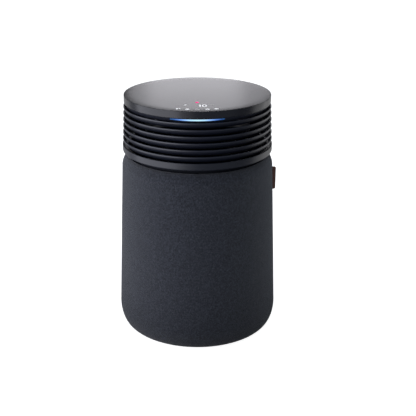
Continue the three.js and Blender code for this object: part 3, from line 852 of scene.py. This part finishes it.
def neck_ring():
    """The rigid ring under the shoulder: it holds the fabric's upper edge and carries the head."""
    _, low, high = span("neck_ring")
    outline = [
        (NECK_BORE, low, 0.5),
        *shoulder(2.6, 16, 8),
        (138, NECK_Z + 1),
        (138, high, 0.8),
        (NECK_BORE + 3, high, 0.8),
        (NECK_BORE, high - 4, 1),
    ]
    notch = moved(box((-14, -135.6, low - 1), (14, -NECK_BORE + 4, high + 1), 0), angle=180)
    pocket = moved(box((-9, -135, low - 1), (9, -NECK_BORE + 4, high - 3), 0), angle=150)
    cut = together(notch, pocket)
    # The ring takes the darker painted-shade black, as the gap under the collar is in shadow.
    piece("neck_ring", turned(outline, 192), "base", "satin_black", material=PAINTED_SHADE_NECK, cut=cut)


def power_inlet():
    low, high = block("power_inlet")
    middle = (low.z + high.z) / 2
    body = box(low, high, 1.0)
    recess = moved(
        prism([(-9, -4.2, 4.1), (9, -4.2, 4.1), (9, 4.2, 4.1), (-9, 4.2, 4.1)], 0, 16, 0, 6),
        (0, high.y - 14, middle), tilt=Matrix.Rotation(-math.pi / 2, 4, "X"))
    piece("power_inlet", body, "base", "satin_black", cut=recess)
    for i in (1, 2):
        pin_low, pin_high = block(f"inlet_pin_{i}")
        centre = (pin_low + pin_high) / 2
        length = pin_high.y - pin_low.y
        radius = (pin_high.x - pin_low.x) / 2
        pin = turned([
            (0, 0), (radius, 0), (radius, length - 0.3, 0.8), (radius * 0.5, length, 0.3),
            (0, length),
        ], 24)
        lying = moved(pin, (centre.x, pin_low.y, centre.z), tilt=Matrix.Rotation(-math.pi / 2, 4, "X"))
        piece(f"inlet_pin_{i}", lying, "base", "brass")


# ---- the cartridge ----
def filter_caps():
    radius, low, high = span("filter_bottom_cap")
    piece("filter_bottom_cap", turned([
        (0, low), (radius - 8, low, 1), (radius - 6, low + 1, 1), (radius, low + 1, 1.5),
        (radius, high, 0.8), (radius - 2.3, high, 0.6), (radius - 2.3, low + 3.4, 0.5),
        (0, low + 3.4),
    ], 144), "filter", "grey_plastic")
    radius, low, high = span("filter_top_cap")
    bore = 54
    piece("filter_top_cap", turned([
        (bore, high - 3.4, 0.8), (radius - 2.3, high - 3.4, 0.5), (radius - 2.3, low, 0.6),
        (radius, low, 0.8), (radius, high, 1.8), (radius - 9, high, 0.8),
        (radius - 10, high - 1, 0.8), (84, high - 1, 0.8), (83, high, 0.8), (bore, high, 1.2),
    ], 144), "filter", "grey_plastic")
    _, low, high = span("filter_seal")
    piece("filter_seal", turned([
        (67, low, 0.6), (78, low, 0.6), (78, low + 1.8, 0.8), (74.5, low + 2.4, 1),
        (73.2, high, 0.9), (71.8, high, 0.9), (70.5, low + 2.4, 1), (67, low + 1.8, 0.8),
    ], 144), "filter", "rubber")


def filter_media():
    """The pleated sheet: deep V folds with round tips, and glue bands that keep the folds apart."""
    low, high = block("filter_media")
    crest = high.x - 0.3
    root = crest - 22
    inner = 64.4
    pleats = 96
    profile = [(0.0, 0.0), (0.12, 0.03), (0.44, 0.97), (0.5, 1.0), (0.56, 0.97), (0.88, 0.03)]
    ring = []
    for i in range(pleats):
        for step, share in profile:
            angle = 360 * (i + step) / pleats
            ring.append((root + (crest - root) * share, angle))
    points, faces = [], []
    count = len(ring)
    for z in (low.z, high.z):
        points += [(*around(radius, angle), z) for radius, angle in ring]
        points += [(*around(inner, angle), z) for _, angle in ring]
    for i in range(count):
        k = (i + 1) % count
        outer_low, inner_low, outer_high, inner_high = 0, count, 2 * count, 3 * count
        faces.append([outer_low + i, outer_low + k, outer_high + k, outer_high + i])
        faces.append([inner_low + k, inner_low + i, inner_high + i, inner_high + k])
        faces.append([outer_low + k, outer_low + i, inner_low + i, inner_low + k])
        faces.append([outer_high + i, outer_high + k, inner_high + k, inner_high + i])
    piece("filter_media", (points, faces), "filter", "filter_paper", crease=50)
    bands = []
    for share in (0.25, 0.5, 0.75):
        z = low.z + (high.z - low.z) * share
        bands.append(turned([
            (crest - 1.2, z - 1.4, 0.5), (crest + 0.3, z - 1.4, 0.6),
            (crest + 0.3, z + 1.4, 0.6), (crest - 1.2, z + 1.4, 0.5),
        ], 144, steps=3))
    piece("media_bands", together(*bands), "filter", "grey_plastic", replaces=[])


def carbon_core():
    radius, low, high = span("carbon_core")
    inner = 58
    tube_wall = turned(ring_outline(inner + 0.8, radius, low, high, 0.5), 144)
    piece("carbon_core", tube_wall, "filter", "carbon")
    net = []
    hoops = 16
    for i in range(hoops + 1):
        z = low + 2 + (high - low - 4) * i / hoops
        net.append(
            turned(
                [(inner, z - 0.7), (inner + 1.2, z - 0.7), (inner + 1.2, z + 0.7), (inner, z + 0.7)],
                96,
            )
        )
    bar = box((-0.7, -inner - 1.2, low + 1), (0.7, -inner, high - 1), 0.2)
    net.append(repeated(bar, 36))
    piece("core_net", together(*net), "filter", "grey_plastic", replaces=[])


def pull_strap():
    """A woven strap across the cartridge's bore, slightly arched."""
    low, high = block("pull_strap")
    thickness = 1.1
    half_width = high.y - 0.4
    reach = high.x
    columns, rows = 40, 8
    layers = []
    for layer in (0, 1):
        grid = []
        for x in evenly(-reach, reach, columns + 1):
            lift = 0.9 * math.exp(-((x / 34) ** 4)) * (1 if layer else 0.6)
            line = []
            for y in evenly(-half_width, half_width, rows + 1):
                edge = layer * 0.12 * math.cos(math.pi * y / half_width)
                line.append((x, y, low.z + layer * thickness + 0.3 * lift + edge))
            grid.append(line)
        layers.append(grid)
    strap = piece("pull_strap", slab(*layers), "filter", "knit_fabric", material=webbing())


def webbing():
    """Tightly woven strap."""
    made = Finish("webbing", (0.03, 0.033, 0.042), 0.85)
    wave = made.node(
        "ShaderNodeTexWave",
        {"Vector": made.place.outputs["Object"], "Scale": 320.0, "Distortion": 1.0},
    )
    made.fill(made.shader, {
        "Base Color": made.ramp(
            wave.outputs["Fac"], (0.2, (0.018, 0.02, 0.026)), (0.8, (0.05, 0.055, 0.068)),
        )
    })
    made.relief(wave.outputs["Fac"], 0.3)
    return made.material


# ---- the head ----
def grille_collar():
    radius, low, high = span("grille_collar")
    inner, seat = 141.6, 143.7
    piece("grille_collar", turned([
        (seat, low, 0.3),
        (radius - 1.0, low, 0.6),
        (radius, low + 1.4, 1.4),
        (radius, high, 0.7),
        (radius - 2.0, high, 0.7),
        (inner, high - 4.0, 1.0),
        (inner, low + 3.4, 0.3),
        (seat, low + 3.4, 0.3),
    ], 288, steps=6), "head", "satin_black")


def louvres():
    """Six rings: an upright nose with soft edges, and a blade that curves down and inwards."""
    for i in range(6):
        radius, low, high = span(f"louvre_{i + 1}")
        nose = high - 3.0
        tip = radius - BLADE_REACH
        outline = [
            (tip - BLADE_THICKNESS, low, 0.6),
            (tip - 0.2, low, 0.6),
            (radius - 1.6, nose - 3.4, 4.0),
            (radius - 0.7, nose - 0.3, 0.4),
            (radius, nose, 0.4),
            (radius, high, 0.75),
            (radius - 2.3, high, 0.9),
        ]
        piece(f"louvre_{i + 1}", turned(outline, 288), "head", "satin_black", material=LOUVRE_BLACK)


def grille_posts():
    for i, angle in enumerate(POST_ANGLES):
        low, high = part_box(f"grille_post_{i + 1}")
        bottom, top = low.z / MM, high.z / MM
        inner, outer = 128, 139.4
        fin = moved(box((-2.2, -outer, bottom), (2.2, -inner, top), 0.7), angle=angle)
        base = moved(
            prism(
                [(-6, -outer + 1, 2), (6, -outer + 1, 2), (6, -inner + 0.5, 2), (-6, -inner + 0.5, 2)],
                bottom, bottom + 3, 0.5,
            ),
            angle=angle,
        )
        piece(f"grille_post_{i + 1}", together(fin, base), "head", "inner_plastic")


def lid_tray():
    edge, low, high = span("lid_tray")
    outline = [
        (0, low), (edge - 5.4, low, 1.0), (edge, high, 0.3), (edge - 3, high, 0.3),
        (edge - 8.4, low + 2.5, 1), (0, low + 2.5),
    ]
    guide_low, guide_high = block("light_guide")
    slot = turned([
        (136, guide_low.z - 0.3), (edge + 4, guide_low.z - 0.3), (edge + 4, guide_high.z + 0.3),
        (136, guide_high.z + 0.3),
    ], 48, sweep=(-LIGHT_ANGLE - 0.2, LIGHT_ANGLE + 0.2))
    piece("lid_tray", turned(outline, 288), "head", "satin_black", cut=slot)


def light_guide():
    """A strip that follows the slanted skirt and thins towards its ends."""
    low, high = block("light_guide")
    edge, skirt_low, skirt_high = span("lid_tray")

    def skirt(z):
        return edge - 5.4 + 5.4 * (z - skirt_low) / (skirt_high - skirt_low)

    points, faces = [], []
    columns = 64
    for i in range(columns + 1):
        angle = LIGHT_ANGLE * (2 * i / columns - 1)
        thin = 0.62 + 0.38 * math.cos(math.radians(90 * abs(angle) / LIGHT_ANGLE)) ** 0.6
        top = high.z
        bottom = high.z - (high.z - low.z) * thin
        middle = (top + bottom) / 2
        for radius, z in (
            (138, bottom), (skirt(bottom) - 0.1, bottom), (skirt(bottom + 0.4) + 0.35, bottom + 0.4),
            (skirt(middle) + 0.55, middle), (skirt(top - 0.4) + 0.35, top - 0.4),
            (skirt(top) - 0.1, top), (138, top),
        ):
            points.append((*around(radius, angle), z))
    for i in range(columns):
        for k in range(7):
            n = (k + 1) % 7
            faces.append([i * 7 + k, (i + 1) * 7 + k, (i + 1) * 7 + n, i * 7 + n])
    faces.append(list(range(7)))
    faces.append([columns * 7 + k for k in range(7)][::-1])
    piece("light_guide", (points, faces), "head", "lit_plastic")


def top_plate():
    radius, low, high = span("top_plate")
    piece("top_plate", turned([
        (0, high - 3), (radius - 3, high - 3, 1), (radius - 3, low, 0.3), (radius, low, 0.4),
        (radius, high, 0.7), (radius - 20, high), (radius - 60, high), (0, high),
    ], 288, steps=6), "head", "gloss_black")


def fan_housing():
    flange, low, high = span("fan_housing")
    outer, wall = 126.5, 2.5
    throat = 64
    floor = low + wall
    outline = [
        (throat + 3, low, 1), (outer, low, 6), (outer, high - 3, 0.6), (flange, high - 3, 0.6),
        (flange, high, 0.6), (outer - wall, high, 0.8), (outer - wall, floor, 5),
        (throat + 8, floor, 3), (throat + 1.5, floor + 4, 3), (throat, low + 16.3, 0.4),
        (throat - 1.6, low + 16.3, 0.4), (throat - 1.4, floor + 4, 3),
    ]
    rib = box((-1, -outer - 1.6, low + 12), (1, -outer + 0.4, high - 4), 0.4)
    piece("fan_housing", together(turned(outline, 144), repeated(rib, 24, 7.5)), "head", "inner_plastic")


def inlet_guard():
    low, high = block("inlet_guard")
    outer = high.x
    middle = (low.z + high.z) / 2
    rings = []
    for radius in (8, 16, 24, 32, 40, 48, outer - 1):
        circle = [(*around(radius, 5 * i), middle) for i in range(73)]
        rings.append(tube(circle, 0.95, 10))
    spokes = [
        tube([(*around(8, angle), middle), (*around(outer - 1, angle), middle)], 0.95, 10)
        for angle in range(0, 360, 45)
    ]
    hub = turned([(0, middle - 1.2), (8, middle - 1.2, 0.6), (8, middle + 1.2, 0.6), (0, middle + 1.2)], 48)
    piece("inlet_guard", together(hub, *rings, *spokes), "head", "steel")


def motor_bracket():
    rim, low, high = span("motor_bracket")
    plate = high - 4
    hub = turned([
        (9, plate, 0.6), (50, plate, 1), (50, high, 1), (42, high, 0.5), (40, high - 1.2, 0.5),
        (14, high - 1.2, 0.5), (12, high, 0.5), (9, high, 0.6),
    ], 96)
    edge = turned(ring_outline(rim - 4, rim, low, high, 0.6), 144)
    vane = prism(
        [(-4, -rim + 2, 1), (1, -86, 8), (-2, -48, 2), (2, -48, 2), (5.5, -86, 8), (2, -rim + 2, 1)],
        plate - 2, high, 0.6,
    )
    piece("motor_bracket", together(hub, edge, repeated(vane, 6)), "head", "inner_plastic")


def motor_unit():
    radius, low, high = span("motor")
    bore = 4.5
    shell = turned([
        (0, high - 6), (bore, high - 6), (bore, low, 0.4), (radius, low, 1.2),
        (radius, low + 5, 0.5), (radius - 1.5, low + 6, 0.5), (radius - 1.5, high - 8, 0.5),
        (radius, high - 7, 0.5), (radius, high - 4, 2), (radius - 6, high, 1.5), (22, high, 0.5),
        (20, high - 1.5, 0.5), (0, high - 1.5),
    ], 96)
    piece("motor", shell, "head", "steel")
    for i in range(3):
        centre, _, low, high = disc(f"motor_damper_{i + 1}")
        height = high.z - low.z
        grommet = turned([
            (0, 0), (6, 0, 0.8), (6, height * 0.3, 0.5), (4.6, height * 0.5, 0.8),
            (6, height * 0.7, 0.5), (6, height, 0.8), (0, height),
        ], 36)
        piece(f"motor_damper_{i + 1}", moved(grommet, (centre.x, centre.y, low.z)), "head", "rubber")


def air_deflector():
    mouth, low, high = span("air_deflector")
    foot, wall = 52, 2.2
    steps = 16
    curve = []
    for i in range(steps + 1):
        turn = math.pi / 2 * i / steps
        curve.append(
            (foot + (mouth - foot) * (1 - math.cos(turn)), low + (high - wall - low) * math.sin(turn))
        )
    inside = [(radius - wall, z + wall * i / steps) for i, (radius, z) in enumerate(curve[:-1])]
    piece("air_deflector", turned([*curve, (mouth, high), *reversed(inside)], 144), "head", "inner_plastic")


def head_fittings():
    low, high = block("contact_plug")
    plug = box(low, high, 1.2)
    blades = [box((x - 1, 130.7, low.z - 1.2), (x + 1, 133.3, low.z + 1), 0.2) for x in (-6, 0, 6)]
    piece("contact_plug", plug, "head", "satin_black")
    piece("contact_blades", together(*blades), "head", "brass", replaces=[])
    for i in range(4):
        centre, radius, low, high = disc(f"housing_screw_{i + 1}")
        recess = cross(centre, 0.4, 1.6, high.z - 0.9, high.z + 1)
        placed = moved(screw(radius, low.z, high.z), (centre.x, centre.y, 0))
        # The screws take the darkened steel, as painted shade inside the head.
        piece(f"housing_screw_{i + 1}", placed, "head", "steel", cut=recess, material=PAINTED_SHADE_STEEL)


# ---- the lit marks on the top plate ----
def arc(radius, first, last, centre=(0, 0), steps=24, stretch=1.0):
    path = []
    for i in range(steps + 1):
        turn = math.radians(first + (last - first) * i / steps)
        path.append((centre[0] + radius * math.sin(turn), centre[1] + stretch * radius * math.cos(turn)))
    return path


def mark(name, paths, place, width, material):
    """A small drawing of round-ended lines, flattened onto the plate at a place."""
    top = span("top_plate")[2]
    half = width / 2
    end = turned([(0, -half), (half, 0, half / 2), (0, half)], 12)
    lines = []
    for path in paths:
        lines.append(tube([(x, y, 0) for x, y in path], half, 8))
        lines.extend(moved(end, (x, y, 0)) for x, y in (path[0], path[-1]))
    points, faces = together(*lines)
    flat = [(x + place[0], y + place[1], top + MARK_HEIGHT * (1 + z / half)) for x, y, z in points]
    piece(name, (flat, faces), "head", "lit_plastic", replaces=[], material=material)


def blob(name, outline, place, material):
    """A filled mark."""
    top = span("top_plate")[2]
    shape = moved(prism(outline, top + 0.02, top + 0.22, 0.05, 8), (*place, 0))
    piece(name, shape, "head", "lit_plastic", replaces=[], material=material)


def display():
    crescent = [arc(3.4, -150, 100, stretch=1.2), arc(2.6, -140, 90, (1.0, 0.9), stretch=1.2)]
    mark("icon_sleep", crescent, (-36.0, -126.6), 1.6, WHITE_LIGHT)
    petals = [
        arc(1.9, 120 * i, 120 * i + 300, (2.1 * math.sin(2.1 * i), 2.5 * math.cos(2.1 * i)), 12)
        for i in range(3)
    ]
    mark("icon_fan", petals, (-18.7, -130.2), 1.5, WHITE_LIGHT)
    mark(
        "icon_power", [arc(3.2, 35, 325, stretch=1.2), [(0, 0.6), (0, 4.2)]], (0.2, -131.4), 1.1,
        FAINT_LIGHT,
    )
    mark(
        "icon_timer", [arc(3.2, 0, 360, stretch=1.2), [(0, 2.2), (0, 0), (1.6, -0.6)]], (18.9, -129.8),
        1.5, WHITE_LIGHT,
    )
    rays = [
        [(reach * math.sin(a), reach * math.cos(a)) for reach in (3.0, 4.0)]
        for a in evenly(0, 1.75 * math.pi, 8)
    ]
    mark("icon_light", [arc(1.8, 0, 360), *rays], (35.6, -126.8), 1.4, WHITE_LIGHT)
    mark(
        "icon_leaf", [arc(2.2, -40, 150, stretch=1.2), [(-1.6, -2.4), (1.2, 1.6)]], (-23.6, -98.6), 1.2,
        WHITE_LIGHT,
    )
    mark("digit_one", [[(-2.4, 5.2), (0, 7.6), (0, -7.6)]], (5.0, -103.6), 2.3, WHITE_LIGHT)
    mark("digit_zero", [arc(3.7, 0, 360, stretch=2.05)], (13.3, -103.6), 2.3, WHITE_LIGHT)
    mark(
        "unit_dots", [[(2.4 * i, 0.0), (2.4 * i + 0.7, 0.0)] for i in range(5)], (20.6, -96.0), 1.3,
        FAINT_LIGHT,
    )
    blob("status_dot", [(*around(3.7, 30 * i),) for i in range(12)], (-0.4, -77.8), MAGENTA_LIGHT)


# ---- the fan ----
def impeller():
    radius, low, high = span("impeller")
    eye, bore = 66, 4.4
    plate = turned([
        (bore, high - 22, 0.5), (13, high - 22, 1.5), (15, high - 8, 4), (30, high - 3, 6),
        (radius, high - 3, 0.8), (radius, high, 0.8), (20, high, 1), (18, high - 2, 1),
        (bore, high - 2, 0.5),
    ], 144)
    shroud = turned([
        (eye, low, 1.0), (eye + 4, low, 1.5), (radius, low + 6, 0.8), (radius, low + 8, 0.8),
        (eye + 6, low + 2.6, 2), (eye + 2.2, low + 4, 1), (eye, low + 4, 0.8),
    ], 144)
    steps = 10
    side = []
    for i in range(steps + 1):
        share = i / steps
        reach = eye - 4 + (radius - eye + 2) * share
        side.append((reach, -38 * share ** 0.9))
    front = [Vector(around(r, a)) for r, a in side]
    back = [
        Vector(around(r + 0.4, a - 1.6 * (1 - abs(2 * i / steps - 1) ** 2) - 0.7))
        for i, (r, a) in enumerate(side)
    ]
    outline = [tuple(p) for p in front] + [tuple(p) for p in reversed(back)]
    blade = prism(outline, low + 2.5, high - 1.5, 0.35)
    # The impeller is near-black as painted shade for the inside of the head, seen through the louvres.
    piece(
        "impeller", together(plate, shroud, repeated(blade, 9)), "fan", "grey_plastic",
        material=PAINTED_SHADE_FAN,
    )
    _, low, high = span("motor_shaft")
    shaft = 4.0
    piece("motor_shaft", turned([
        (0, low), (shaft - 0.6, low, 0.2), (shaft, low + 1, 0.3), (shaft, high - 1, 0.3),
        (shaft - 0.6, high, 0.2), (0, high),
    ], 48), "fan", "steel")
    low, high = block("impeller_nut")
    hexagon = [(8 * math.sin(math.pi / 3 * i), 8 * math.cos(math.pi / 3 * i), 0.6) for i in range(6)]
    bore_tool = turned([(0, low.z - 1), (4.4, low.z - 1), (4.4, high.z + 1), (0, high.z + 1)], 48)
    piece("impeller_nut", prism(hexagon, low.z, high.z, 0.7), "fan", "brass", cut=bore_tool)


# ---- camera, floor and lights ----
def camera():
    data = bpy.data.cameras.new("camera")
    data.lens = CAMERA_LENS
    data.sensor_width = 36
    data.shift_x = CAMERA_SHIFT
    data.clip_end = 50
    made = bpy.data.objects.new("camera", data)
    bpy.context.scene.collection.objects.link(made)
    made.location = (0, -CAMERA_DISTANCE * MM, CAMERA_HEIGHT * MM)
    made.rotation_euler = (math.radians(90 - CAMERA_PITCH), 0, 0)
    bpy.context.scene.camera = made


def floor():
    """A white floor, its glow a little weaker towards the middle as painted shadow round the base. It is
    kept out of the object's reflections, as a cut-out product picture has none.
    """
    data = bpy.data.meshes.new("floor")
    half = 20
    data.from_pydata(
        [(-half, -half, 0), (half, -half, 0), (half, half, 0), (-half, half, 0)], [], [(0, 1, 2, 3)],
    )
    made = bpy.data.objects.new("floor", data)
    bpy.context.scene.collection.objects.link(made)
    paint = Finish("floor", (0.6, 0.6, 0.6), 0.9)
    reach = paint.node(
        "ShaderNodeVectorMath", {0: paint.place.outputs["Object"]}, operation="LENGTH",
    ).outputs["Value"]
    # Painted shadow: the glow is weaker from half a metre in towards the middle, and darkest under the
    # base.
    glow = paint.node("ShaderNodeMapRange", {
        "Value": reach, "From Min": 0.14, "From Max": 0.5, "To Min": 0.91, "To Max": 1.05,
    }).outputs[0]
    paint.fill(
        paint.shader,
        {"Specular IOR Level": 0.0, "Emission Color": (1, 1, 1), "Emission Strength": glow},
    )
    data.materials.append(paint.material)
    made.visible_glossy = False
    made.visible_diffuse = False
    made.visible_shadow = False


def floor_shade():
    """A dark ring just under the floor that stops light from coming up at the edge of the base. Neither the
    camera nor a reflection sees it."""
    points, faces = turned([(152, -2.5), (430, -2.5), (430, -1.5), (152, -1.5)], 96)
    made = bpy.data.objects.new("floor_shade", mesh_of("floor_shade", (points, faces)))
    bpy.context.scene.collection.objects.link(made)
    made.data.materials.append(
        Finish("floor_shade", (0.01, 0.01, 0.01), 1.0, **{"Specular IOR Level": 0.0}).material
    )
    made.visible_camera = False
    made.visible_glossy = False


def softbox(name, angle, distance, height, width, tall, brightness, colour=(1, 1, 1), aim=None):
    """A rectangular light that stands round the object at an angle from the front and faces it. Its
    brightness is what a perfect mirror would show."""
    data = bpy.data.lights.new(name, "AREA")
    data.shape = "RECTANGLE"
    data.size = width * MM
    data.size_y = tall * MM
    data.energy = math.pi * brightness * data.size * data.size_y
    data.color = colour
    made = bpy.data.objects.new(name, data)
    bpy.context.scene.collection.objects.link(made)
    x, y = around(distance, angle)
    made.location = Vector((x, y, height)) * MM
    direction = Vector((0, 0, height if aim is None else aim)) * MM - made.location
    made.rotation_euler = direction.to_track_quat("-Z", "Y").to_euler()
    made.visible_camera = False


def surroundings():
    """White to the camera, dim and bluish to matt surfaces, and nearly dark to shiny ones."""
    world = bpy.data.worlds.new("studio")
    bpy.context.scene.world = world
    world.use_nodes = True
    nodes, links = world.node_tree.nodes, world.node_tree.links
    path = nodes.new("ShaderNodeLightPath")
    result = nodes["Background"].outputs[0]
    nodes["Background"].inputs["Color"].default_value = (0.74, 0.85, 1.0, 1)
    nodes["Background"].inputs["Strength"].default_value = 0.24
    for ray, colour, strength in (
        ("Is Glossy Ray", (0.8, 0.88, 1.0, 1), 0.03),
        ("Is Camera Ray", (1, 1, 1, 1), 1.0),
    ):
        shown = nodes.new("ShaderNodeBackground")
        shown.inputs["Color"].default_value = colour
        shown.inputs["Strength"].default_value = strength
        mix = nodes.new("ShaderNodeMixShader")
        links.new(path.outputs[ray], mix.inputs[0])
        links.new(result, mix.inputs[1])
        links.new(shown.outputs[0], mix.inputs[2])
        result = mix.outputs[0]
    links.new(result, nodes["World Output"].inputs["Surface"])
    bpy.context.scene.view_settings.view_transform = "Standard"
    softbox("left_softbox", -65, 1600, 300, 2560, 1900, 2.05, (0.97, 0.98, 1.06))
    softbox("left_feather", -17, 1900, 300, 620, 1900, 0.6)
    softbox("front_fill", 26, 1900, 300, 2600, 1900, 0.2, (0.86, 0.92, 1.0))
    softbox("right_feather", 76, 1500, 200, 860, 1800, 0.08)
    softbox("right_panel", 110, 1500, 200, 1000, 1800, 0.85)
    softbox("left_rear", -117, 1600, 300, 640, 1900, 0.25)
    softbox("back_wall", 180, 1800, -200, 5000, 1500, 0.55)
    softbox("back_softbox", 180.4, 1500, 765, 360, 410, 0.9, (0.992, 0.978, 1.03), aim=494)
    softbox("back_haze", 179.2, 1520, 765, 600, 410, 1.2, (0.992, 0.978, 1.03), aim=494)
    softbox("top_softbox", 170, 900, 1700, 1600, 1200, 0.5, aim=300)


camera()
floor()
floor_shade()
surroundings()
fabric_sleeve()
leather_tab()
base_pan()
feet()
filter_seat()
intake_cage()
neck_ring()
power_inlet()
filter_caps()
filter_media()
carbon_core()
pull_strap()
grille_collar()
louvres()
grille_posts()
lid_tray()
light_guide()
top_plate()
fan_housing()
inlet_guard()
motor_bracket()
motor_unit()
air_deflector()
head_fittings()
display()
impeller()
finish_cad(
    contact_socket="satin_black",
    reed_switch="grey_plastic",
    supply_lead="rubber",
    power_board="circuit_board",
    display_board="circuit_board",
    light_board="circuit_board",
    particle_sensor="inner_plastic",
    head_magnet="steel",
)
